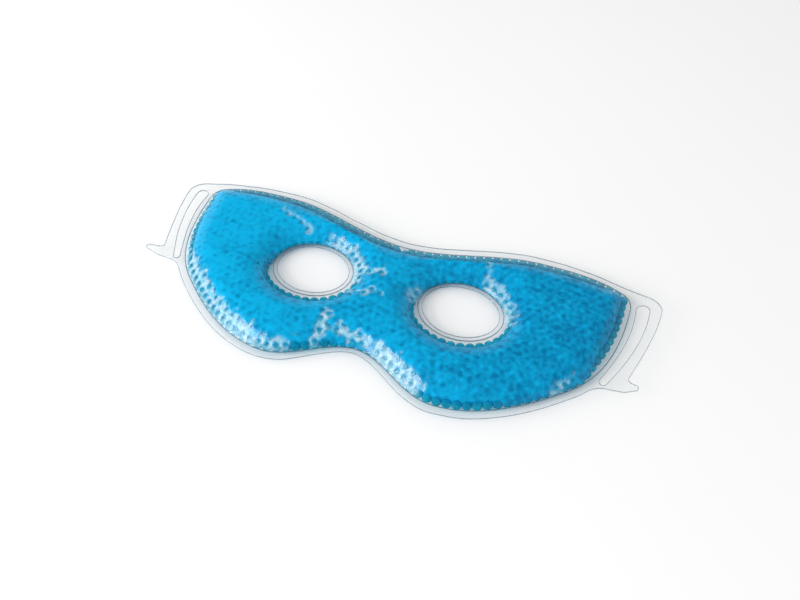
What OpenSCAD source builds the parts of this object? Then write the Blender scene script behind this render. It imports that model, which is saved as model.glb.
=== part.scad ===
// Gel-bead eye mask: two welded film pouches joined by a nose bridge, each filled with small
// round gel beads, with an open eye hole in each lobe and a slotted strap tab at each end.
// Units are millimetres. X runs across the face, Y runs up the face, Z points away from it.
// The mask lies on z = 0 with its back film down, and the halves meet at x = 0.

/* [Mask] */
// width across the strap tabs
mask_w = 240; // [200:1:280]
// height from lower lobe edge to upper lobe edge
mask_h = 96; // [80:0.5:115]
// thickness of each film
film_t = 0.3; // [0.2:0.05:0.5]
// how far the front film swells above its weld
crown_h = 7.4; // [6.5:0.1:10]
// how far the back film swells below its weld
belly_h = 3; // [2.6:0.1:4]
// distance from a weld over which the front film reaches its full height
crown_run = 16; // [12:0.5:20]
// distance from a weld over which the back film reaches its full depth
belly_run = 6; // [5:0.5:10]

/* [Lobe outline] */
// height of the upper weld at the middle of the bridge
bridge_top = 32; // [30:0.5:34]
// depth of the lower weld at the middle of the bridge
bridge_low = 30.5; // [29:0.5:32]
// distance of the highest point of the brow from the middle
brow_x = 66; // [60:1:72]
// height of the brow's weld
brow_y = 44.5; // [43:0.5:46]
// distance of the lobe's outer side from the middle
side_x = 107.5; // [106:0.5:108]
// distance of the heel, where the side turns under the lobe, from the middle
heel_x = 90; // [87:1:92]
// depth of the heel
heel_y = 18.5; // [17:0.5:20]
// distance of the lobe's lowest point from the middle
lobe_x = 38; // [35:1:41]
// depth of the lobe's lower weld
lobe_y = 44.5; // [43:0.5:45.5]
// width of the flange outside the weld
flange_w = 3.4; // [3:0.1:4]

/* [Eye holes] */
// centre of each eye hole from the middle of the nose bridge
eye_x = 36.3; // [33:0.1:39]
// height of the eye centres above the middle of the mask
eye_y = 4.4; // [1:0.1:7]
// width of an eye hole
eye_w = 35.2; // [28:0.2:37]
// height of an eye hole
eye_h = 27.4; // [22:0.2:30]
// width of the weld ring around an eye hole
eye_weld = 2; // [1:0.1:3]

/* [Beads] */
// diameter of a gel bead
bead_d = 3.9; // [3:0.1:4.2]
// distance between neighbouring beads in a layer
bead_pitch = 4.25; // [4.2:0.05:6]

/* [Strap tabs] */
// distance of the tab's upper corner from the middle
tab_x = 114; // [113:0.5:115]
// height of the tab's upper corner
tab_y = 39.5; // [38.5:0.5:40.5]
// distance of the slot's upper end from the middle
slot_x = 112.5; // [112:0.1:113]
// distance of the slot's lower end from the middle
slot_foot_x = 103.5; // [103:0.1:104]
// width of a strap slot
slot_w = 5.6; // [5.6:0.1:5.9]

/* [Bridge] */
// gap between the two halves at the fold line
fold_gap = 0.3; // [0.2:0.05:0.6]

/* [Output] */
// which node to draw

/* [Hidden] */
sx = mask_w / 240;
sy = mask_h / 96;
eye = [eye_x, eye_y];
z_weld = belly_h + film_t;
bead_r = bead_d / 2;
bead_gap = 0.55;
far = 1e6;
film_colour = [0.9, 0.94, 0.97, 0.35];
gel_colour = [0.05, 0.55, 0.85];

// Landmarks of the right half, each a place and the heading of the line there in degrees.
weld_marks = [
    [[0, bridge_top], 0],
    [[brow_x, brow_y], 0],
    [[side_x - 3.5, brow_y - 6], -28],
    [[side_x, brow_y - 13.5], -92],
    [[heel_x, -heel_y], -138],
    [[lobe_x, -lobe_y], -180],
    [[0, -bridge_low], -180]];
tab_marks = [
    [[tab_x, tab_y], -20],
    [[tab_x + 6, tab_y - 8.5], -94],
    [[tab_x - 3, tab_y - 45.5], -108]];
horn_marks = [[[119, -12], 180], [[heel_x + 10, -heel_y + 3.5], -158]];
slot_marks = [[[slot_x, 31.5], -88], [[slot_foot_x, -8], -112]];

function last(v) = v[len(v) - 1];
function size_up(pts) = [for (p = pts) [p[0] * sx, p[1] * sy]];

// A smooth line of k steps from one landmark to the next, without its last point.
function run(from, to, k) =
    let (
        s = norm(to[0] - from[0]),
        u = s * [cos(from[1]), sin(from[1])],
        v = s * [cos(to[1]), sin(to[1])])
    [for (i = [0:k - 1])
        let (t = i / k)
        from[0] * (1 - 3 * t * t + 2 * t * t * t) + to[0] * (3 * t * t - 2 * t * t * t)
            + u * (t - 2 * t * t + t * t * t) + v * (t * t * t - t * t)];

// Steps of each run: long runs take more, so that all edges come out alike.
function steps_of(from, to) = max(3, round(norm(to[0] - from[0]) / 5.5));
function runs(marks) =
    concat(
        [for (i = [0:len(marks) - 2]) each run(marks[i], marks[i + 1], steps_of(marks[i], marks[i + 1]))],
        [last(marks)[0]]);
function part_of(marks, first, count) = [for (i = [first:first + count - 1]) marks[i]];

// A line moved outwards by the flange, which narrows towards the bottom of the bridge.
function flange_at(p) = p[1] > 0 ? flange_w : flange_w * min(1, 0.65 + p[0] / 80);
function flanged(line) =
    let (n = len(line) - 1)
    [for (i = [0:n])
        let (t = line[min(i + 1, n)] - line[max(i - 1, 0)])
        line[i] + [-t[1], t[0]] / norm(t) * flange_at(line[i])];

function weld_line() = size_up(runs(weld_marks));

// The film's edge round the right half, then up the fold line, without the closing point.
// It follows the flange over the brow, runs round the strap tab and its horn, and comes back
// along the flange under the lobe.
function film_edge() =
    let (
        x0 = fold_gap / 2,
        brow = flanged(runs(part_of(weld_marks, 0, 2))),
        lobe = flanged(runs(part_of(weld_marks, 4, 3))),
        over_tab = runs(concat([[last(brow), 0]], tab_marks)),
        horn = [horn_marks[0][0] + [0, 2.5]],
        heel = runs(concat(horn_marks, [[lobe[0], -138]])),
        half = size_up(concat(part_of(brow, 0, len(brow) - 1), over_tab, horn, heel,
                              part_of(lobe, 1, len(lobe) - 1))),
        clipped = [for (p = half) [max(p[0], x0), p[1]]],
        low = last(clipped)[1],
        high = clipped[0][1],
        fold = [for (i = [1:12]) [x0, low + (high - low) * i / 13]])
    concat(clipped, fold);

// Distance from q to the segment ab, and to the nearest point of a line of points.
function seg_dist(q, a, b) =
    let (e = b - a, t = min(1, max(0, (q - a) * e / (e * e))))
    norm(q - a - t * e);
function line_dist(q, line) = min([for (i = [0:len(line) - 2]) seg_dist(q, line[i], line[i + 1])]);

// How far a ray from c along the unit vector u runs before it meets a line of points.
function seg_reach(c, u, a, b) =
    let (
        e = b - a,
        w = a - c,
        den = u[0] * e[1] - u[1] * e[0],
        safe = abs(den) < 1e-9 ? 1e-9 : den,
        t = (w[0] * e[1] - w[1] * e[0]) / safe,
        s = (w[0] * u[1] - w[1] * u[0]) / safe)
    (t > 0 && s >= -0.001 && s <= 1.001) ? t : far;
function line_reach(c, u, line) =
    min([for (i = [0:len(line) - 2]) seg_reach(c, u, line[i], line[i + 1])]);

// Radius of the eye ellipse along u, grown by g.
function eye_reach(u, g) = 1 / norm([u[0] / (eye_w / 2 + g), u[1] / (eye_h / 2 + g)]);
function eye_ring() = [for (a = [0:10:360]) let (u = [cos(a), sin(a)]) eye + u * eye_reach(u, eye_weld)];

// Share of the full swell at distance d from the nearest weld.
function swell(d, run) = 1 - pow(1 - min(1, max(0, d) / run), 2.2);

// Is q no further out than the outer weld, seen from the eye centre?
function in_reach(q, weld) =
    let (v = q - eye, r = norm(v))
    r <= line_reach(eye, v / max(r, 0.001), weld) + 0.01;

// Lofts one film of the right half as rings round the eye hole.
// It swells with the distance from the nearest weld, and is flat on the flanges.
module film_sheet(up) {
    weld = weld_line();
    ring = eye_ring();
    edge = film_edge();
    n = len(edge);
    steps = [0, 0.025, 0.06, 0.11, 0.18, 0.28, 0.4, 0.55, 0.69, 0.8, 0.88, 0.94, 0.975, 1];
    m = len(steps) + 2;
    // three radii in each direction: the eye weld, the outer weld and the film's edge
    dirs = [for (p = edge) (p - eye) / norm(p - eye)];
    r_in = [for (u = dirs) eye_reach(u, eye_weld)];
    r_out = [for (i = [0:n - 1])
        let (r_edge = norm(edge[i] - eye))
        min(line_reach(eye, dirs[i], weld), 0.975 * r_edge)];
    flat = [for (i = [0:n - 1])
        concat(
            [eye + dirs[i] * eye_reach(dirs[i], 0)],
            [for (s = steps) eye + dirs[i] * (r_in[i] + (r_out[i] - r_in[i]) * s)],
            [edge[i]])];
    run = up ? crown_run : belly_run;
    rise = up ? crown_h : -belly_h;
    low = up ? z_weld : z_weld - film_t;
    lift = [for (i = [0:n - 1])
        [for (j = [0:m - 1])
            let (
                q = flat[i][j],
                d = min(line_dist(q, ring), line_dist(q, weld)),
                on_flange = j < 2 || (j == m - 1 && q[0] > fold_gap))
            on_flange || !in_reach(q, weld) ? 0 : rise * swell(d, run)]];
    under = [for (j = [0:m - 1], i = [0:n - 1]) [flat[i][j][0], flat[i][j][1], low + lift[i][j]]];
    over = [for (p = under) p + [0, 0, film_t]];
    tops = [for (j = [0:m - 2], i = [0:n - 1])
        let (k = (i + 1) % n)
        each [[j * n + i, j * n + n + i, j * n + n + k], [j * n + i, j * n + n + k, j * n + k]]];
    half = m * n;
    bottoms = [for (f = tops) [f[2] + half, f[1] + half, f[0] + half]];
    inner = [for (i = [0:n - 1])
        let (k = (i + 1) % n)
        each [[i, k, half + k], [i, half + k, half + i]]];
    o = (m - 1) * n;
    outer = [for (i = [0:n - 1])
        let (k = (i + 1) % n)
        each [[o + i, half + o + i, half + o + k], [o + i, half + o + k, o + k]]];
    polyhedron(concat(over, under), concat(tops, bottoms, inner, outer), convexity = 6);
}

// A curved slot of constant width along the strap tab, with rounded ends.
module slot_hole() {
    mid = size_up(runs(slot_marks));
    n = len(mid) - 1;
    runs = [for (i = [0:n]) mid[min(i + 1, n)] - mid[max(i - 1, 0)]];
    sides = [for (t = runs) [t[1], -t[0]] / norm(t) * slot_w / 2];
    outline = concat(
        [for (i = [0:n]) mid[i] + sides[i]],
        [for (i = [n:-1:0]) mid[i] - sides[i]]);
    translate([0, 0, z_weld - 2])
        linear_extrude(4)
            polygon(outline);
    for (end = [mid[0], mid[n]])
        translate([end[0], end[1], z_weld - 2])
            cylinder(r = slot_w / 2, h = 4, $fn = 48);
}

// One film of the right half, with its strap slot.
module half_film(up) {
    difference() {
        film_sheet(up);
        slot_hole();
    }
}

// Highest and lowest a bead's centre can stand at distance d from the nearest weld.
function top_seat(d) =
    let (r = bead_r + bead_gap)
    min([for (k = [0:8])
        z_weld + crown_h * swell(d - k * r / 8, crown_run) - r * sqrt(1 - k * k / 64)]);
function low_seat(d) =
    let (r = bead_r + bead_gap)
    max([for (k = [0:8])
        z_weld - belly_h * swell(d - k * r / 8, belly_run) + r * sqrt(1 - k * k / 64)]);

// Beads of the right half on a staggered grid: one layer near the welds and two further in.
module half_beads() {
    weld = weld_line();
    ring = eye_ring();
    start = fold_gap / 2 + bead_r + 0.2;
    row = bead_pitch * sqrt(3) / 2;
    rows = ceil(46 * sy / row);
    for (j = [-rows:rows], i = [0:ceil(107 * sx / bead_pitch)]) {
        q = [start + (i + (j % 2 == 0 ? 0 : 0.5)) * bead_pitch, j * row];
        v = q - eye;
        u = v / max(norm(v), 0.001);
        inside = norm(v) > eye_reach(u, eye_weld) && norm(v) < line_reach(eye, u, weld);
        d = inside ? min(line_dist(q, ring), line_dist(q, weld)) : 0;
        high = top_seat(d);
        low = low_seat(d);
        heights = high < low ? [] : high - low < bead_d ? [(high + low) / 2] : [low, high];
        for (z = heights)
            translate([q[0], q[1], z])
                sphere(r = bead_r, $fn = 20);
    }
}

module front_film_right() {
    color(film_colour)
        half_film(true);
}

module front_film_left() {
    color(film_colour)
        mirror([1, 0, 0])
            half_film(true);
}

module back_film_right() {
    color(film_colour)
        half_film(false);
}

module back_film_left() {
    color(film_colour)
        mirror([1, 0, 0])
            half_film(false);
}

module gel_beads_right() {
    color(gel_colour)
        half_beads();
}

module gel_beads_left() {
    color(gel_colour)
        mirror([1, 0, 0])
            half_beads();
}

front_film_left();
front_film_right();
back_film_left();
back_film_right();
gel_beads_left();
gel_beads_right();
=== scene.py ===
"""Looks for the gel-bead eye mask: clear welded films, soft gel beads, the gel between them, seams
and edges.

Plans are drawn in millimetres in the frame's X and Y, and turned into metres when a mesh is made."""
import math
import bpy
import numpy as np
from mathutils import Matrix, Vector
from mathutils.geometry import delaunay_2d_cdt
from mathutils.kdtree import KDTree


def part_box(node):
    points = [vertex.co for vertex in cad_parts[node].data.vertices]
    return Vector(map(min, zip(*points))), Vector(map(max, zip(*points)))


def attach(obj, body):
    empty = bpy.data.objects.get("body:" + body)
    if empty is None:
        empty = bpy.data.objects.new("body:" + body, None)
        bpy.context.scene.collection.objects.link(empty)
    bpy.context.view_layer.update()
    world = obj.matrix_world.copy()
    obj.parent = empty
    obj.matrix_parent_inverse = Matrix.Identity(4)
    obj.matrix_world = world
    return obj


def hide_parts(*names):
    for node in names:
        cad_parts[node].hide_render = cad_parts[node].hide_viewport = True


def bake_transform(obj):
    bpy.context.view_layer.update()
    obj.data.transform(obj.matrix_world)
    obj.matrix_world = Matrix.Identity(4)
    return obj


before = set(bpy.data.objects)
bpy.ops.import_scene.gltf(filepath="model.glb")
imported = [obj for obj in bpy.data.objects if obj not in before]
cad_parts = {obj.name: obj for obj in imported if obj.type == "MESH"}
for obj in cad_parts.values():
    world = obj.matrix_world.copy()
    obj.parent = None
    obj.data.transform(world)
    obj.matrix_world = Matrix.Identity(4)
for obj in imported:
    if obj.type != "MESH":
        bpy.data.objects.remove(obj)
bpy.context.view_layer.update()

# ---------------------------------------------------------------- sizes in millimetres
MM = 0.001
FILM_T = 0.3                    # film thickness
FRONT_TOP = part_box("front_film_left")[1][2] / MM
BACK_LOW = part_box("back_film_left")[0][2] / MM
WELD_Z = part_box("front_film_left")[0][2] / MM
CROWN = FRONT_TOP - WELD_Z - FILM_T     # how far the front film swells
BELLY = WELD_Z - FILM_T - BACK_LOW      # how far the back film swells
CROWN_RUN, BELLY_RUN = 16.0, 6.0        # distances from a weld over which the swell is reached
SWELL_POWER = 2.2
SKIN = 0.03                     # least space kept between pieces that touch
EYE_X, EYE_Y = 36.3, 4.4
EYE_CUT = (17.6, 13.7)          # half axes of an eye hole's cut edge
EYE_WELD = (19.5, 15.6)         # half axes of its weld ring
BEAD_R = 2.15
BEAD_PITCH = 4.1
LEAST_GAP = 0.25                # least empty width between a weld and the beads
TAB_ROOT, TAB_RUN = 104, 15     # where the loose tabs start to stand up, and over what length
LIFT = {1: 3.6, -1: 0.7}        # how far the right and the left tab stand up at the end of it
EDGE_STEP, THREAD_STEP = 0.8, 0.6       # spacing of the points along an edge and along a thread
FRONT_MESH, BACK_MESH, GEL_MESH = 0.68, 1.1, 0.9    # spacing of the points in each sheet
SEAM, EYE_SEAM, CUT = (0.22, 0.34), (0.19, 0.34), (0.15, 0.34)  # half width and half height of a thread
PRESS_WET, PRESS_DRY = 0.07, 0.28       # how far the film dips between beads, and how much more over air
HAZE = 0.58                     # how milky the film is over air
GEL_GAP, GEL_DIP, AIR_SINK = 0.14, 0.10, 1.5    # gel under the film, between beads, and under air
GEL_EDGE, GEL_BULGE = 2.2, 3.2  # width and half height of the gel's round edge

# Tone of the gel: its middle, how it varies by bead, between beads and in waves, and its fall per mm in X,
# which is painted shade that darkens the gel towards the right, away from the key light.
TONE_MID, TONE_BEAD, TONE_DIMPLE, TONE_WAVE, TONE_PAINTED_SHADE = 0.55, 0.65, 0.45, 0.15, 0.0045

# Landmarks of the right half: a place and the heading of the line there, in degrees.
FLANGE = 3.4                    # width of the flange outside the weld
BRIDGE_TOP, BRIDGE_LOW = (0, 32), (0, -30.5)
BROW, SIDE, HEEL, LOBE = (66, 44.5), (107.5, 31), (90, -18.5), (38, -44.5)
CORNER = (SIDE[0] - 3.5, BROW[1] - 6)
WELD_MARKS = [(BRIDGE_TOP, 0), (BROW, 0), (CORNER, -28), (SIDE, -92), (HEEL, -138), (LOBE, -180),
              (BRIDGE_LOW, -180)]
TAB = (114, 39.5)               # the tab's upper corner
HORN = {-1: 118, 1: 114.5}      # how far the horn below each tab reaches: less where the tab curls up
HORN_TIP = ((-8.8, -12), (-11.2, -170))     # height and heading of the two sides of its tip
TAB_MARKS = [(TAB, -20), ((TAB[0] + 6, TAB[1] - 8.5), -94), ((TAB[0] - 3, TAB[1] - 45.5), -108)]
HEEL_MARKS = [((TAB[0] - 4, -13), -180), ((HEEL[0] + 9, HEEL[1] + 4), -150)]
SLOT_TOP, SLOT_FOOT = ((112.6, 31.5), -88), ((101.5, -10.5), -116)
SLOT_WIDE, SLOT_THIN = 2.8, 1.6     # half width of the slot at its upper and lower end

# Air under the front film. Along the outer weld: from one x to another, how wide, how strong.
AIR_RIM = [(-105, -92, 3.5, 0.5), (-92, -46, 6.6, 0.9), (-46, -27, 4.5, 0.8), (8, 32, 6.0, 0.85),
           (83, 87, 4.0, 0.7)]
# Round an eye: which side, from one angle to another, how wide, how strong.
AIR_EYE = [(-1, -10, 86, 4.6, 0.9), (1, 0, 70, 4.4, 0.8), (1, 168, 188, 3.4, 0.5)]
# Short streaks: from one place to another, half width, how strong.
AIR_STREAK = [((-15, 7), (-3, 9), 1.4, 0.7), ((-13, -6), (0, -3), 1.1, 0.55),
              ((-16, -21), (-17, -34), 1.9, 0.9), ((-15, -26), (4, -27), 1.6, 0.9),
              ((-62, 30), (-46, 24), 1.0, 0.45), ((41, 30), (43, 22), 0.9, 0.4)]


# ---------------------------------------------------------------- plan curves
def run(start, end):
    """A smooth dense line from one landmark to the next, without its last point."""
    a, b = np.array(start[0], float), np.array(end[0], float)
    size = np.linalg.norm(b - a)
    u, v = [size * np.array([math.cos(math.radians(h)), math.sin(math.radians(h))])
            for h in (start[1], end[1])]
    t = np.linspace(0, 1, max(4, int(size / 0.25)), endpoint=False)[:, None]
    return (a * (1 - 3 * t ** 2 + 2 * t ** 3) + b * (3 * t ** 2 - 2 * t ** 3)
            + u * (t - 2 * t ** 2 + t ** 3) + v * (t ** 3 - t ** 2))


def runs(marks):
    """One line through a row of landmarks."""
    return np.vstack([run(a, b) for a, b in zip(marks[:-1], marks[1:])] + [[marks[-1][0]]])


def flanged(line):
    """A line moved outwards by the flange, which narrows towards the bottom of the bridge."""
    t = np.gradient(line, axis=0)
    out = np.stack([-t[:, 1], t[:, 0]], 1) / np.linalg.norm(t, axis=1)[:, None]
    width = np.where(line[:, 1] > 0, FLANGE, FLANGE * np.minimum(1, 0.65 + line[:, 0] / 80))
    return line + out * width[:, None]


def resample(p, step):
    """A closed line of points about one step apart."""
    q = np.vstack([p, p[:1]])
    s = np.concatenate([[0], np.cumsum(np.linalg.norm(np.diff(q, axis=0), axis=1))])
    at = np.linspace(0, s[-1], max(4, int(round(s[-1] / step))) + 1)[:-1]
    return np.stack([np.interp(at, s, q[:, 0]), np.interp(at, s, q[:, 1])], 1)


def both_halves(right, left):
    """A closed line, clockwise from the top middle, out of a line for each half."""
    return resample(np.vstack([right, left[-2:0:-1] * [-1, 1]]), EDGE_STEP)


def edge_half(horn):
    """The film's edge round a half: brow flange, strap tab with its horn, lobe flange."""
    brow = flanged(runs(WELD_MARKS[:2]))
    lobe = flanged(runs(WELD_MARKS[4:]))
    tab = runs([(brow[-1], 0)] + TAB_MARKS + [((horn, y), heading) for y, heading in HORN_TIP])
    heel = runs(HEEL_MARKS + [(lobe[0], WELD_MARKS[4][1])])
    return np.vstack([brow[:-1], tab, heel, lobe[1:]])


def slot_line(side):
    """A slot's closed edge: a band along a curve, thinner at its foot, with rounded ends.

    The CAD slot keeps its full width and its foot ends higher and further out. So this film reaches
    into the slot openings that the record declares: most in the low one, less in the other two."""
    mid = runs([SLOT_TOP, SLOT_FOOT])
    t = np.gradient(mid, axis=0)
    t /= np.linalg.norm(t, axis=1)[:, None]
    half = np.linspace(SLOT_WIDE, SLOT_THIN, len(mid))[:, None]
    across = np.stack([t[:, 1], -t[:, 0]], 1)
    a = np.linspace(0, math.pi, 14)[1:-1, None]
    foot = mid[-1] - across[-1] * SLOT_THIN * np.cos(a) + t[-1] * SLOT_THIN * np.sin(a)
    head = mid[0] + across[0] * SLOT_WIDE * np.cos(a) - t[0] * SLOT_WIDE * np.sin(a)
    line = np.vstack([mid - across * half, foot, (mid + across * half)[::-1], head])
    return resample(line * [side, 1], EDGE_STEP)


def ellipse(side, axes):
    """A closed ring round an eye."""
    a = np.linspace(0, 2 * math.pi, 721)[:-1]
    ring = np.stack([side * EYE_X + axes[0] * np.cos(a), EYE_Y + axes[1] * np.sin(a)], 1)
    return resample(ring, EDGE_STEP)


def right_of(line):
    """Unit vectors to the right of a closed line: inwards on a clockwise one."""
    t = np.roll(line, -1, 0) - np.roll(line, 1, 0)
    n = np.stack([t[:, 1], -t[:, 0]], 1)
    return n / np.linalg.norm(n, axis=1)[:, None]


def tree_of(points):
    tree = KDTree(len(points))
    for i, p in enumerate(points):
        tree.insert((p[0], p[1], 0), i)
    tree.balance()
    return tree


def near_point(q, points):
    """Distance to the nearest of some points, and which it is."""
    tree = tree_of(points)
    found = [tree.find((x, y, 0)) for x, y in q]
    return np.array([f[2] for f in found]), np.array([f[1] for f in found])


def stretch_distance(q, a, b):
    """Distance from each point of q to the straight stretch between a and b."""
    e = b - a
    t = np.clip(((q - a) * e).sum(-1) / (e * e).sum(-1), 0, 1)
    return np.linalg.norm(q - a - t[:, None] * e, axis=1)


def line_distance(q, line):
    """Distance from each point of q to a closed line of evenly spaced points."""
    near = near_point(q, line)[1]
    return np.minimum(stretch_distance(q, line[near - 1], line[near]),
                      stretch_distance(q, line[near], line[(near + 1) % len(line)]))


def inside(q, line):
    """Whether each point of q lies inside a closed line."""
    out = np.zeros(len(q), bool)
    a, b = line, np.roll(line, -1, 0)
    box = ((q >= line.min(0)) & (q <= line.max(0))).all(1)
    idx = np.nonzero(box)[0]
    rise = np.where(b[:, 1] == a[:, 1], 1e-9, b[:, 1] - a[:, 1])
    for i in range(0, len(idx), 4000):
        k = idx[i:i + 4000]
        x, y = q[k, 0:1], q[k, 1:2]
        cross = (a[:, 1] > y) != (b[:, 1] > y)
        out[k] = (cross & (x < a[:, 0] + (y - a[:, 1]) / rise * (b[:, 0] - a[:, 0]))).sum(1) % 2 == 1
    return out


class Field:
    """Values on a grid over the whole plan, looked up between its points."""
    step, low, count = 0.4, np.array([-126.0, -54.0]), (631, 271)

    def __init__(self, rule):
        x = self.low[0] + np.arange(self.count[0]) * self.step
        y = self.low[1] + np.arange(self.count[1]) * self.step
        grid = np.stack(np.meshgrid(x, y, indexing="ij"), -1).reshape(-1, 2)
        self.values = rule(grid).reshape(self.count)

    def __call__(self, q):
        t = (q - self.low) / self.step
        i = np.clip(t[:, 0].astype(int), 0, self.count[0] - 2)
        j = np.clip(t[:, 1].astype(int), 0, self.count[1] - 2)
        u, w = t[:, 0] - i, t[:, 1] - j
        v = self.values
        return (v[i, j] * (1 - u) * (1 - w) + v[i + 1, j] * u * (1 - w)
                + v[i, j + 1] * (1 - u) * w + v[i + 1, j + 1] * u * w)


film_edge = both_halves(edge_half(HORN[1]), edge_half(HORN[-1]))
weld = both_halves(runs(WELD_MARKS), runs(WELD_MARKS))
eye_cuts = [ellipse(-1, EYE_CUT), ellipse(1, EYE_CUT)]
eye_welds = [ellipse(-1, EYE_WELD), ellipse(1, EYE_WELD)]
slots = [slot_line(-1), slot_line(1)]


def outer_rule(q):
    """Distance inside the outer weld, negative outside it."""
    return np.where(inside(q, weld), 1, -1) * line_distance(q, weld)


def depth_rule(q):
    """Distance inside the pouch from the nearest weld, negative outside it."""
    d = outer_rule(q)
    for ring in eye_welds:
        d = np.minimum(d, np.where(inside(q, ring), -1, 1) * line_distance(q, ring))
    return d


pouch_depth = Field(depth_rule)     # distance inside the pouch from the nearest weld
outer_depth = Field(outer_rule)     # the same from the outer weld alone


def smooth(x):
    x = np.clip(x, 0, 1)
    return x * x * (3 - 2 * x)


def waves(q, scale, seed):
    """Smooth repeatable noise in about -1 to 1, made of a few waves."""
    r = np.random.default_rng(seed)
    out = np.zeros(len(q))
    for _ in range(7):
        a = r.uniform(0, 2 * math.pi)
        f = 2 * math.pi / scale * r.uniform(0.6, 1.7)
        out += np.sin(f * (q[:, 0] * math.cos(a) + q[:, 1] * math.sin(a)) + r.uniform(0, 6.3))
    return out / 2.8


def air(q):
    """How much air lies under the film, 0 to 1."""
    wobble = waves(q, 7.0, 3) * 1.1 + waves(q, 3.0, 5) * 0.7
    d = outer_depth(q)
    out = np.zeros(len(q))

    def patch(width, ends, strength):
        return strength * smooth((width + wobble) / 1.8 + 0.5) * smooth((ends + wobble) / 3 + 0.5)

    for low, high, wide, strength in AIR_RIM:
        ends = np.minimum(q[:, 0] - low, high - q[:, 0])
        out = np.maximum(out, patch(np.where(q[:, 1] < 26, wide - d, -9), ends, strength))
    for side, low, high, wide, strength in AIR_EYE:
        x, y = (q[:, 0] - side * EYE_X) / EYE_WELD[0], (q[:, 1] - EYE_Y) / EYE_WELD[1]
        off = np.degrees(np.arctan2(y, x)) - (low + high) / 2
        ends = ((high - low) / 2 - np.abs((off + 180) % 360 - 180)) * 0.3
        out = np.maximum(out, patch(wide - (np.hypot(x, y) - 1) * 17, ends, strength))
    for a, b, half, strength in AIR_STREAK:
        off = stretch_distance(q, np.array(a, float), np.array(b, float))
        out = np.maximum(out, patch(half - off, 9, strength))
    return out


# ---------------------------------------------------------------- heights
def swell(d, reach):
    """0 at a weld, rising to 1 at its reach."""
    return 1 - (1 - np.clip(d / reach, 0, 1)) ** SWELL_POWER


def front_under(d):
    """Height of the front film's under side."""
    return WELD_Z + SKIN + CROWN * swell(d, CROWN_RUN)


def back_over(d):
    """Height of the back film's upper side."""
    return WELD_Z - SKIN - BELLY * swell(d, BELLY_RUN)


def tab_lift(q):
    """How far the loose tabs stand up."""
    right, left = [np.clip((side * q[:, 0] - TAB_ROOT) / TAB_RUN, 0, None) ** 1.5 * LIFT[side]
                   for side in (1, -1)]
    return right + left + 0.16 * waves(q, 26, 41) * np.clip(-pouch_depth(q) / 2, 0, 1)


# ---------------------------------------------------------------- where beads and gel end
def outer_gap(q):
    """Empty width between the outer weld and the beads: more at the two ends."""
    right = 1.7 * smooth((q[:, 0] - 94) / 8) * smooth((38 - q[:, 1]) / 6)
    left = 1.0 * smooth((-q[:, 0] - 90) / 8) * smooth((36 - q[:, 1]) / 6)
    return LEAST_GAP + right + left


def outer_wet(q):
    """Width between the outer weld and the gel: small where the gel fills the seam."""
    filled = smooth((q[:, 0] - 62) / 8) * smooth(-q[:, 1] / 12)
    notch = smooth((12 - np.abs(q[:, 0])) / 6) * smooth(-q[:, 1] / 12)
    top = smooth(q[:, 1] / 14) * smooth((102 - np.abs(q[:, 0])) / 10)
    return outer_gap(q) + 2.4 - 2.0 * np.maximum(filled, notch) + 2.7 * top


def eye_low(q):
    """1 below an eye, up to 0.8 to its right (towards +X), 0 above it."""
    side = np.where(q[:, 0] < 0, -1, 1)
    down = smooth((EYE_Y + 3 - q[:, 1]) / 13)
    across = smooth((q[:, 0] - side * EYE_X - 9) / 9) * smooth((EYE_Y + 10 - q[:, 1]) / 8)
    return np.maximum(down, 0.8 * across)


def eye_gap(q):
    """Empty width between an eye's weld and the beads."""
    return LEAST_GAP + 2.2 * eye_low(q)


def eye_wet(q):
    """Width between an eye's weld and the gel."""
    return eye_gap(q) + 0.2 + 1.7 * smooth(eye_low(q) * 1.4)


def inset(line, distance, step):
    """A closed line moved to its right by a distance given at each of its points."""
    row = line + right_of(line) * distance[:, None]
    return resample(row[pouch_depth(row) > distance - 0.15], step)


# ---------------------------------------------------------------- bead places
def thinned(points, least, kept=()):
    """Adds each point that stands further than the least distance from all that were kept."""
    kept = [tuple(k) for k in kept]
    for p in points:
        if all((p[0] - k[0]) ** 2 + (p[1] - k[1]) ** 2 > least * least for k in reversed(kept)):
            kept.append(tuple(p))
    return np.array(kept)


def staggered(low, high, pitch):
    """Points one pitch apart in rows, with every other row shifted by half a pitch."""
    rows = np.arange(low[1], high[1], pitch * math.sqrt(3) / 2)
    x = np.arange(low[0], high[0], pitch)
    return np.vstack([np.stack([x + (j % 2) * pitch / 2, np.full(len(x), y)], 1)
                      for j, y in enumerate(rows)])


def lattice(pitch, turn, shift):
    """Staggered points over the whole plan, shifted and turned."""
    c, s = math.cos(turn), math.sin(turn)
    return (staggered((-130, -56), (130, 56), pitch) + shift) @ np.array([[c, -s], [s, c]])


def relaxed(fixed, loose, pitch, rounds):
    """Moves the loose points apart until all stand about one pitch from each other."""
    n = len(fixed)
    p = np.vstack([fixed, loose])
    for k in range(rounds):
        if k % 8 == 0:
            tree = tree_of(p)
            pairs = np.array([(i, j) for i in range(n, len(p))
                              for _, j, _ in tree.find_range((p[i][0], p[i][1], 0), pitch * 1.5) if j != i])
        e = p[pairs[:, 0]] - p[pairs[:, 1]]
        length = np.linalg.norm(e, axis=1) + 1e-9
        push = np.clip(pitch * 1.03 - length, 0, None) * 0.3
        move = np.zeros_like(p)
        np.add.at(move, pairs[:, 0], e / length[:, None] * push[:, None])
        p[n:] += np.clip(move[n:], -0.7, 0.7)
    return p[n:]


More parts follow.
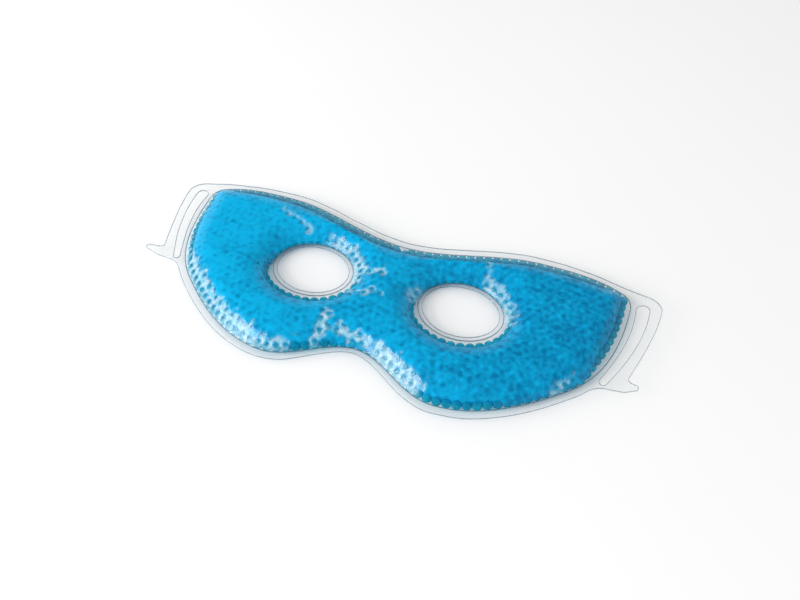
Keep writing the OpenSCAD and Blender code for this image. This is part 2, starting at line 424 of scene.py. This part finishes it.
def bead_places(first, turn, shift, seed):
    """One layer of beads: a row along each weld, then a packed field inside it."""
    rows = [inset(weld, outer_gap(weld) + first, BEAD_PITCH)]
    rows += [inset(ring, eye_gap(ring) + first, BEAD_PITCH) for ring in eye_welds]
    fixed = thinned(np.vstack(rows), 0.85 * BEAD_PITCH)
    margin = Field(lambda q: pouch_depth(q) - np.where(
        np.hypot((np.abs(q[:, 0]) - EYE_X) / EYE_WELD[0], (q[:, 1] - EYE_Y) / EYE_WELD[1]) < 1.7,
        eye_gap(q), outer_gap(q)))
    loose = lattice(BEAD_PITCH * 0.98, turn, shift)
    loose = loose[margin(loose) > first + 0.72 * BEAD_PITCH]
    loose = loose + np.random.default_rng(seed).normal(0, 0.25, loose.shape)
    loose = relaxed(fixed, loose, BEAD_PITCH, 90)
    loose = loose[margin(loose) > first + 0.5 * BEAD_PITCH]
    return thinned(loose, 0.82 * BEAD_PITCH, fixed)


def seats(xy, r):
    """Highest and lowest a bead's centre can stand at each place."""
    d = pouch_depth(xy)
    k = np.linspace(0, 1, 9)[:, None] * r
    drop = np.sqrt(np.maximum(r * r - k * k, 0))
    return (front_under(d - k) - drop).min(0), (back_over(d - k) + drop).max(0)


# ---------------------------------------------------------------- mesh building
def new_mesh(name, verts, faces, smooth_shade=True, values=None):
    """A mesh object from points in millimetres, with named values at its points."""
    mesh = bpy.data.meshes.new(name)
    verts = np.asarray(verts, np.float32) * MM
    faces = np.asarray(faces, np.int32)
    sides = faces.shape[1]
    mesh.vertices.add(len(verts))
    mesh.vertices.foreach_set("co", verts.ravel())
    mesh.loops.add(faces.size)
    mesh.loops.foreach_set("vertex_index", faces.ravel())
    mesh.polygons.add(len(faces))
    mesh.polygons.foreach_set("loop_start", np.arange(0, faces.size, sides, dtype=np.int32))
    mesh.polygons.foreach_set("loop_total", np.full(len(faces), sides, np.int32))
    mesh.update(calc_edges=True)
    mesh.polygons.foreach_set("use_smooth", np.full(len(faces), smooth_shade))
    for key, v in (values or {}).items():
        mesh.attributes.new(key, "FLOAT", "POINT").data.foreach_set("value", np.asarray(v, np.float32))
    obj = bpy.data.objects.new(name, mesh)
    bpy.context.scene.collection.objects.link(obj)
    return obj


def sheet_plan(rim, holes, creases, spacing):
    """A triangulated area with holes, whose edges follow every given line."""
    grid = staggered(rim.min(0), rim.max(0), spacing)
    lines = [rim] + holes + creases
    on_lines = np.vstack([np.vstack([c, (c + np.roll(c, -1, 0)) / 2]) for c in lines])
    grid = grid[inside(grid, rim)]
    for h in holes:
        grid = grid[~inside(grid, h)]
    grid = grid[near_point(grid, on_lines)[0] > 0.45 * spacing]
    edges, at = [], len(grid)
    for c in lines:
        edges += [(at + i, at + (i + 1) % len(c)) for i in range(len(c))]
        at += len(c)
    made = delaunay_2d_cdt([Vector(p) for p in np.vstack([grid] + lines)], edges, [], 0, 1e-6)
    v = np.array([tuple(p) for p in made[0]])
    t = np.array([f for f in made[2] if len(f) == 3])
    mid = v[t].mean(1)
    keep = inside(mid, rim)
    for h in holes:
        keep &= ~inside(mid, h)
    t = t[keep]
    used, t = np.unique(t, return_inverse=True)
    v, t = v[used], t.reshape(-1, 3)
    a, b, c = v[t[:, 0]], v[t[:, 1]], v[t[:, 2]]
    turn = (b[:, 0] - a[:, 0]) * (c[:, 1] - a[:, 1]) - (b[:, 1] - a[:, 1]) * (c[:, 0] - a[:, 0])
    t[turn < 0] = t[turn < 0][:, ::-1]
    return v, t


def closed_sheet(v, t, over, under):
    """A closed body between two heights over one plan."""
    n = len(v)
    e = np.vstack([t[:, [0, 1]], t[:, [1, 2]], t[:, [2, 0]]]).astype(np.int64)
    e = e[~np.isin(e[:, 0] * n + e[:, 1], e[:, 1] * n + e[:, 0])]
    wall = np.vstack([np.column_stack([e[:, 0], e[:, 0] + n, e[:, 1] + n]),
                      np.column_stack([e[:, 0], e[:, 1] + n, e[:, 1]])])
    verts = np.vstack([np.column_stack([v, over]), np.column_stack([v, under])])
    return verts, np.vstack([t, t[:, ::-1] + n, wall])


def thread_mesh(line, half_width, half_height, sides=8):
    """A closed oval thread laid along a plan line."""
    line = resample(line, THREAD_STEP)
    n = len(line)
    path = np.column_stack([line, WELD_Z + tab_lift(line)])
    a = np.arange(sides) / sides * 2 * math.pi
    across = np.column_stack([right_of(line), np.zeros(n)])
    ring = np.cos(a)[None, :, None] * across[:, None] * half_width
    ring = ring + np.sin(a)[None, :, None] * np.array([0, 0, half_height])
    i = np.repeat(np.arange(n), sides)
    j = np.tile(np.arange(sides), n)
    k, l = (i + 1) % n, (j + 1) % sides
    faces = np.column_stack([i * sides + j, k * sides + j, k * sides + l, i * sides + l])
    return (path[:, None] + ring).reshape(-1, 3), faces[:, ::-1]


def geodesic(cuts):
    """A unit sphere made of an icosahedron with each edge cut into equal parts."""
    g = (1 + 5 ** 0.5) / 2
    v = np.array([(-1, g, 0), (1, g, 0), (-1, -g, 0), (1, -g, 0), (0, -1, g), (0, 1, g),
                  (0, -1, -g), (0, 1, -g), (g, 0, -1), (g, 0, 1), (-g, 0, -1), (-g, 0, 1)], float)
    corners = [(0, 11, 5), (0, 5, 1), (0, 1, 7), (0, 7, 10), (0, 10, 11), (1, 5, 9), (5, 11, 4), (11, 10, 2),
               (10, 7, 6), (7, 1, 8), (3, 9, 4), (3, 4, 2), (3, 2, 6), (3, 6, 8), (3, 8, 9), (4, 9, 5),
               (2, 4, 11), (6, 2, 10), (8, 6, 7), (9, 8, 1)]
    index, points, faces = {}, [], []

    def at(p):
        p = p / np.linalg.norm(p)
        key = tuple(np.round(p, 5))
        if key not in index:
            index[key] = len(points)
            points.append(p)
        return index[key]

    for a, b, c in corners:
        rows = [[at(v[a] + (v[b] - v[a]) * i / cuts + (v[c] - v[b]) * j / cuts) for j in range(i + 1)]
                for i in range(cuts + 1)]
        for i in range(cuts):
            for j in range(i + 1):
                faces.append((rows[i][j], rows[i + 1][j], rows[i + 1][j + 1]))
                if j < i:
                    faces.append((rows[i][j], rows[i + 1][j + 1], rows[i][j + 1]))
    return np.array(points), np.array(faces)


def soft_beads(centres, others, cuts, seed):
    """Beads pressed flat where they meet a neighbour or a film."""
    ball, tris = geodesic(cuts)
    r = np.random.default_rng(seed)
    n, m = len(centres), len(ball)
    verts = np.empty((n, m, 3))
    for i, c in enumerate(centres):
        spin = np.linalg.qr(r.normal(size=(3, 3)))[0]
        spin *= np.sign(np.linalg.det(spin))
        p = ball @ spin.T * BEAD_R * r.uniform(0.96, 1.02) * (1 + r.normal(0, 0.012, 3))
        near = others[np.abs(others - c).max(1) < 2 * BEAD_R]
        for e in near - c:
            length = np.linalg.norm(e)
            if 1e-6 < length < 2 * BEAD_R:
                e = e / length
                over = np.clip(p @ e - (length / 2 - SKIN / 2), 0, None)
                p = p - over[:, None] * e
        verts[i] = p + c
    flat = verts.reshape(-1, 3)
    d = pouch_depth(flat[:, :2])
    top = front_under(d) - SKIN - 0.3 * covered(flat[:, :2])
    low = back_over(d) + SKIN
    flat[:, 2] = np.clip(flat[:, 2], low, np.maximum(top, low + SKIN))
    return flat, (tris[None] + (np.arange(n) * m)[:, None, None]).reshape(-1, 3), np.repeat(np.arange(n), m)


def dimple(rho):
    """0 over a bead's middle, -1 between beads."""
    return np.cos(np.clip(rho / (BEAD_PITCH / 2), 0, 1) * math.pi) * 0.5 - 0.5


# ---------------------------------------------------------------- materials
def material(name):
    m = bpy.data.materials.new(name)
    m.use_nodes = True
    m.node_tree.nodes.clear()
    return m, m.node_tree, m.node_tree.nodes.new("ShaderNodeOutputMaterial")


def add(nt, kind, inputs=None, **props):
    """Adds a node. An input may be a plain value or another node's output."""
    n = nt.nodes.new(kind)
    for key, value in props.items():
        setattr(n, key, value)
    for key, value in (inputs or {}).items():
        if isinstance(value, bpy.types.NodeSocket):
            nt.links.new(value, n.inputs[key])
        else:
            n.inputs[key].default_value = value
    return n


def maths(nt, op, a, b, clamp=False):
    return add(nt, "ShaderNodeMath", {0: a, 1: b}, operation=op, use_clamp=clamp).outputs[0]


def noise(nt, scale, detail=3.0, kind="ShaderNodeTexNoise"):
    coords = add(nt, "ShaderNodeTexCoord").outputs["Object"]
    inputs = {"Vector": coords, "Scale": scale}
    if kind == "ShaderNodeTexNoise":
        inputs["Detail"] = detail
    return add(nt, kind, inputs).outputs["Fac" if kind == "ShaderNodeTexNoise" else "Distance"]


def ramp(nt, value, low, high):
    """Colour or grey that runs from low to high, each given as (place, colour or grey)."""
    n = add(nt, "ShaderNodeValToRGB", {0: value})
    for e, (place, colour) in zip(n.color_ramp.elements, (low, high)):
        e.position = place
        e.color = (*colour, 1) if isinstance(colour, tuple) else (colour, colour, colour, 1)
    return n.outputs[0]


def value_of(nt, name):
    """A value that is stored at the mesh's points."""
    return add(nt, "ShaderNodeAttribute", attribute_name=name).outputs["Fac"]


def blended(nt, fac, a, b):
    return add(nt, "ShaderNodeMixShader", {0: fac, 1: a, 2: b}).outputs[0]


def seen_directly(nt):
    """1 for rays that see a surface, 0 for rays that carry light through it."""
    rays = add(nt, "ShaderNodeLightPath")
    lit = maths(nt, "ADD", rays.outputs["Is Shadow Ray"], rays.outputs["Is Diffuse Ray"], clamp=True)
    return maths(nt, "SUBTRACT", 1.0, lit)


def film_material(name, hazy):
    """Clear film: see-through, glossy, and milky where air lies under it."""
    m, nt, out = material(name)
    clear = add(nt, "ShaderNodeBsdfTransparent", {"Color": (0.996, 0.998, 0.999, 1)}).outputs[0]
    grain = noise(nt, 500.0)
    broad = noise(nt, 60.0, 2.0)
    bump = add(nt, "ShaderNodeBump", {"Strength": 0.12, "Distance": 0.0005, "Height": broad}).outputs[0]
    surface = clear
    if hazy:
        milk = add(nt, "ShaderNodeBsdfPrincipled", {
            "Base Color": ramp(nt, grain, (0.35, (0.20, 0.64, 0.85)), (0.62, (0.68, 0.88, 0.96))),
            "Roughness": 0.4, "Specular IOR Level": 0.2}).outputs[0]
        patch = ramp(nt, noise(nt, 330.0), (0.35, 0.45), (0.6, 1.0))
        surface = blended(nt, maths(nt, "MULTIPLY", value_of(nt, "haze"), patch), clear, milk)
    shine = add(nt, "ShaderNodeBsdfGlossy", {
        "Color": (1, 1, 1, 1), "Roughness": ramp(nt, grain, (0.3, 0.05), (0.75, 0.16)),
        "Normal": bump}).outputs[0]
    facing = add(nt, "ShaderNodeLayerWeight", {"Blend": 0.5, "Normal": bump}).outputs["Facing"]
    mirror = maths(nt, "ADD", maths(nt, "MULTIPLY", maths(nt, "POWER", facing, 5.0), 0.12), 0.012)
    mirror = maths(nt, "MULTIPLY", mirror, seen_directly(nt))
    nt.links.new(blended(nt, mirror, surface, shine), out.inputs["Surface"])
    return m


def thread_material(name, light, dark, solid):
    """Film seen edge on, or a pressed weld: a darker line that is partly see-through; on cut edges the dark
    is painted reflection.
    """
    m, nt, out = material(name)
    clear = add(nt, "ShaderNodeBsdfTransparent", {"Color": (0.93, 0.97, 0.98, 1)}).outputs[0]
    n = noise(nt, 70.0)
    body = add(nt, "ShaderNodeBsdfPrincipled", {
        "Base Color": ramp(nt, n, (0.3, dark), (0.7, light)), "Roughness": 0.25}).outputs[0]
    share = ramp(nt, n, (0.35, solid * 0.7), (0.65, solid))
    nt.links.new(blended(nt, share, clear, body), out.inputs["Surface"])
    return m


def gel_material(name, wet, deep, pale, clear, tint, mottle):
    """Wet translucent gel, paler where air reaches it, with a tone for each bead and fine mottling; the gel's
    tone also carries a painted shade, darker towards +X.
    """
    m, nt, out = material(name)
    fine = noise(nt, 480.0, 4.0)
    cells = noise(nt, 420.0, kind="ShaderNodeTexVoronoi")
    tone = maths(nt, "ADD", maths(nt, "MULTIPLY", value_of(nt, "tone"), 0.45),
                 maths(nt, "MULTIPLY", maths(nt, "SUBTRACT", fine, 0.5), mottle * 2))
    tone = maths(nt, "ADD", tone, maths(nt, "MULTIPLY", cells, 0.35), clamp=True)
    colour = ramp(nt, tone, (0.2, deep), (0.8, wet))
    dry = maths(nt, "MULTIPLY", value_of(nt, "dry"), ramp(nt, noise(nt, 420.0), (0.3, 0.25), (0.65, 1.0)))
    mix = add(nt, "ShaderNodeMix", {"Factor": dry}, data_type="RGBA")
    nt.links.new(colour, mix.inputs[6])
    mix.inputs[7].default_value = (*pale, 1)
    bump = add(nt, "ShaderNodeBump", {"Strength": 0.3, "Distance": 0.0002, "Height": fine}).outputs[0]
    body = add(nt, "ShaderNodeBsdfPrincipled", {
        "Base Color": mix.outputs[2], "Roughness": ramp(nt, fine, (0.3, 0.14), (0.8, 0.34)), "Normal": bump,
        "IOR": 1.36, "Specular IOR Level": 0.14,
        "Subsurface Weight": 0.2, "Subsurface Radius": (0.1, 0.7, 1.0), "Subsurface Scale": 0.0015})
    through = add(nt, "ShaderNodeBsdfTransparent", {"Color": (*tint, 1)})
    share = ramp(nt, noise(nt, 180.0), (0.3, clear * 0.8), (0.7, clear * 1.2))
    share = maths(nt, "ADD", share, maths(nt, "MULTIPLY", maths(nt, "SUBTRACT", 1.0, seen_directly(nt)), 0.3))
    nt.links.new(blended(nt, share, body.outputs[0], through.outputs[0]), out.inputs["Surface"])
    return m


WET, DEEP, PALE = (0.001, 0.48, 0.84), (0.0005, 0.20, 0.42), (0.22, 0.70, 0.90)
BEAD_LIGHT, BEAD_DARK, BEAD_PALE = (0.003, 0.46, 0.62), (0.001, 0.23, 0.37), (0.04, 0.42, 0.60)
TINT = (0.12, 0.78, 0.92)
clear_film = film_material("clear_film", True)
clear_back = film_material("clear_film_back", False)
seam_line = thread_material("weld_seam", (0.10, 0.26, 0.33), (0.03, 0.13, 0.19), 0.65)
# The cut edges' dark grey-teal is painted reflection: dark surroundings seen in the film's edge, put into its
# colour.
cut_line_painted_reflection = thread_material("cut_edge", (0.24, 0.34, 0.38), (0.10, 0.18, 0.22), 0.5)
bead_gel = gel_material("gel_bead", BEAD_LIGHT, BEAD_DARK, BEAD_PALE, 0.5, (0.2, 0.84, 0.93), 0.3)
loose_gel = gel_material("gel_between_beads", WET, DEEP, PALE, 0.18, TINT, 0.4)


def finished(obj, mat, body=None):
    """Gives a piece its material and slot, and makes it ride on a body or bakes its placement into its
    points.
    """
    obj.data.materials.append(mat)
    if body:
        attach(obj, body)
    else:
        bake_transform(obj)
    return obj


# ---------------------------------------------------------------- beads
SEAT_R = BEAD_R - 0.1
top_xy = bead_places(BEAD_R, 0.21, (0.7, 0.3), 21)
low_xy = bead_places(BEAD_R + 3.9, -0.13, (2.1, 1.4), 22)
high, low = seats(top_xy, SEAT_R)
sink = 0.28 * smooth((pouch_depth(top_xy) - 5) / 4) * (1 - air(top_xy))
top_z = np.where(high - low < 0.8 * BEAD_R, (high + low) / 2, high - sink)
top_beads = np.column_stack([top_xy, top_z])
low_beads = np.column_stack([low_xy, seats(low_xy, SEAT_R)[1]])
all_beads = np.vstack([top_beads, low_beads])

gel_rim = inset(weld, outer_wet(weld), 1.0)
gel_holes = [inset(ring, eye_wet(ring), 1.0) for ring in eye_welds]


def covered_rule(q):
    """1 where gel covers the beads, 0 outside the gel and in air."""
    rim = np.where(inside(q, gel_rim), 1, -1) * line_distance(q, gel_rim)
    for hole in gel_holes:
        rim = np.minimum(rim, np.where(inside(q, hole), -1, 1) * line_distance(q, hole))
    return smooth(rim / 1.2) * (1 - air(q))


covered = Field(covered_rule)

for layer, places, cuts, seed in (("front", top_beads, 5, 31), ("back", low_beads, 4, 32)):
    for side, sign in (("left", -1), ("right", 1)):
        mine = places[places[:, 0] * sign > 0]
        verts, faces, owner = soft_beads(mine, all_beads, cuts, seed)
        tone = np.random.default_rng(seed + 5).uniform(0, 1, len(mine))
        beads = new_mesh(f"gel_beads_{side}_{layer}", verts, faces,
                         values={"tone": tone[owner] * 0.8, "dry": air(mine[:, :2])[owner]})
        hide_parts(f"gel_beads_{side}")
        finished(beads, bead_gel)

# ---------------------------------------------------------------- gel between the beads
v, t = sheet_plan(gel_rim, gel_holes, [], GEL_MESH)
rim_d = np.minimum(line_distance(v, gel_rim), np.minimum(*[line_distance(v, h) for h in gel_holes]))
bulge = np.sqrt(1 - (1 - np.clip(rim_d / GEL_EDGE, 0, 1)) ** 2)
d = pouch_depth(v)
dry = air(v)
rho, nearest = near_point(v, top_xy)
over = front_under(d) - GEL_GAP + GEL_DIP * dimple(rho) - AIR_SINK * dry
under = back_over(d) + GEL_GAP
mid = (front_under(d) + back_over(d)) / 2
over = np.minimum(np.maximum(over, mid + 0.15), mid + 0.06 + GEL_BULGE * bulge + 5 * smooth(rim_d / 4 - 0.5))
under = np.maximum(np.minimum(under, mid), mid - 0.06 - GEL_BULGE * bulge)
verts, faces = closed_sheet(v, t, over, under)
bead_tone = np.random.default_rng(36).uniform(-0.5, 0.5, len(top_xy))[nearest] * (1 + dimple(rho))
# The last term is painted shade: the gel's colour darkens towards +X, away from the key light.
tone = np.tile(TONE_MID + TONE_BEAD * bead_tone - TONE_DIMPLE * dimple(rho)
               + TONE_WAVE * waves(v, 14, 12) - TONE_PAINTED_SHADE * v[:, 0], 2)
gel = new_mesh("gel_between_beads", verts, faces, values={"tone": tone, "dry": np.tile(dry, 2)})
finished(gel, loose_gel)

# ---------------------------------------------------------------- films
film_holes = eye_cuts + slots
v, t = sheet_plan(film_edge, film_holes, [weld] + eye_welds, FRONT_MESH)
d = pouch_depth(v)
dry = air(v)
rho = near_point(v, top_xy)[0]
press = np.clip((d - 1.2) / 2, 0, 1) * (PRESS_WET + PRESS_DRY * dry)
under = front_under(d) + press * dimple(rho)
lift = tab_lift(v)
verts, faces = closed_sheet(v, t, under + FILM_T + lift, under + lift)
haze = np.tile(HAZE * dry * smooth((rho - 0.85) / 0.9) * np.clip(d / 1.5, 0, 1), 2)
front = new_mesh("front_film", verts, faces, values={"haze": haze})
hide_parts("front_film_left", "front_film_right")
finished(front, clear_film)

v, t = sheet_plan(film_edge, film_holes, [weld] + eye_welds, BACK_MESH)
d = pouch_depth(v)
over = back_over(d)
lift = tab_lift(v)
verts, faces = closed_sheet(v, t, over + lift, np.maximum(over - FILM_T + SKIN, 0) + lift)
verts[:, 2] = np.maximum(verts[:, 2], 0)
back = new_mesh("back_film", verts, faces)
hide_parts("back_film_left", "back_film_right")
finished(back, clear_back)


def thread(name, line, size, mat, body=None):
    """A seam or a cut edge as a piece of its own."""
    verts, faces = thread_mesh(line, *size)
    finished(new_mesh(name, verts, faces), mat, body)


thread("outer_weld_seam", weld, SEAM, seam_line)
thread("outer_cut_edge", film_edge, CUT, cut_line_painted_reflection)
for k, side in enumerate(("left", "right")):
    half = side + "_half"
    thread("eye_weld_seam_" + side, eye_welds[k], EYE_SEAM, seam_line, half)
    thread("eye_cut_edge_" + side, eye_cuts[k], CUT, cut_line_painted_reflection, half)
    thread("slot_cut_edge_" + side, slots[k], CUT, cut_line_painted_reflection, half)

# ---------------------------------------------------------------- floor, light and camera
FLOOR_R = 3000.0                # half the floor's width
floor = new_mesh("floor", [(x * FLOOR_R, y * FLOOR_R, 0) for x, y in ((-1, -1), (1, -1), (1, 1), (-1, 1))],
                 [(0, 1, 2, 3)], False)
m, nt, out = material("floor")
paper = add(nt, "ShaderNodeBsdfPrincipled", {
    "Base Color": ramp(nt, noise(nt, 3.0), (0.3, 0.89), (0.7, 0.91)), "Roughness": 0.8,
    "Specular IOR Level": 0.1})
nt.links.new(paper.outputs[0], out.inputs["Surface"])
floor.data.materials.append(m)

world = bpy.data.worlds.new("studio")
bpy.context.scene.world = world
world.use_nodes = True
nt = world.node_tree
nt.nodes.clear()
rays = add(nt, "ShaderNodeLightPath")
fill = add(nt, "ShaderNodeBackground", {"Color": (1, 1, 1, 1), "Strength": 0.78}).outputs[0]
up = add(nt, "ShaderNodeSeparateXYZ", {0: add(nt, "ShaderNodeTexCoord").outputs["Generated"]}).outputs["Z"]
dark = add(nt, "ShaderNodeBackground", {
    "Color": ramp(nt, up, (0.3, 0.8), (0.6, 0.03)), "Strength": 1.0}).outputs[0]
seen = add(nt, "ShaderNodeBackground", {"Color": (1, 1, 1, 1), "Strength": 1.0}).outputs[0]
lit = blended(nt, rays.outputs["Is Glossy Ray"], fill, dark)
lit = blended(nt, rays.outputs["Is Camera Ray"], lit, seen)
nt.links.new(lit, nt.nodes.new("ShaderNodeOutputWorld").inputs["Surface"])

key_data = bpy.data.lights.new("key", "AREA")
key_data.size = 0.8
key_data.energy = 17.5
key = bpy.data.objects.new("key", key_data)
key.location = (-1.0, -0.84, 0.72)
key.rotation_euler = Vector(key.location).to_track_quat("Z", "Y").to_euler()
bpy.context.scene.collection.objects.link(key)

AZIMUTH, ELEVATION, DISTANCE = math.radians(20.07), math.radians(52.22), 0.2724
target = Vector((0.00866, 0.00108, WELD_Z * MM))
away = Vector((math.sin(AZIMUTH) * math.cos(ELEVATION), -math.cos(AZIMUTH) * math.cos(ELEVATION),
               math.sin(ELEVATION)))
cam_data = bpy.data.cameras.new("camera")
cam_data.sensor_width = 36
cam_data.lens = 27
cam_data.clip_start = 0.01
cam = bpy.data.objects.new("camera", cam_data)
cam.location = target + away * DISTANCE
cam.rotation_euler = away.to_track_quat("Z", "Y").to_euler()
bpy.context.scene.collection.objects.link(cam)
scene = bpy.context.scene
scene.camera = cam
scene.view_settings.view_transform = "Standard"
scene.cycles.transparent_max_bounces = 32
scene.cycles.use_denoising = True
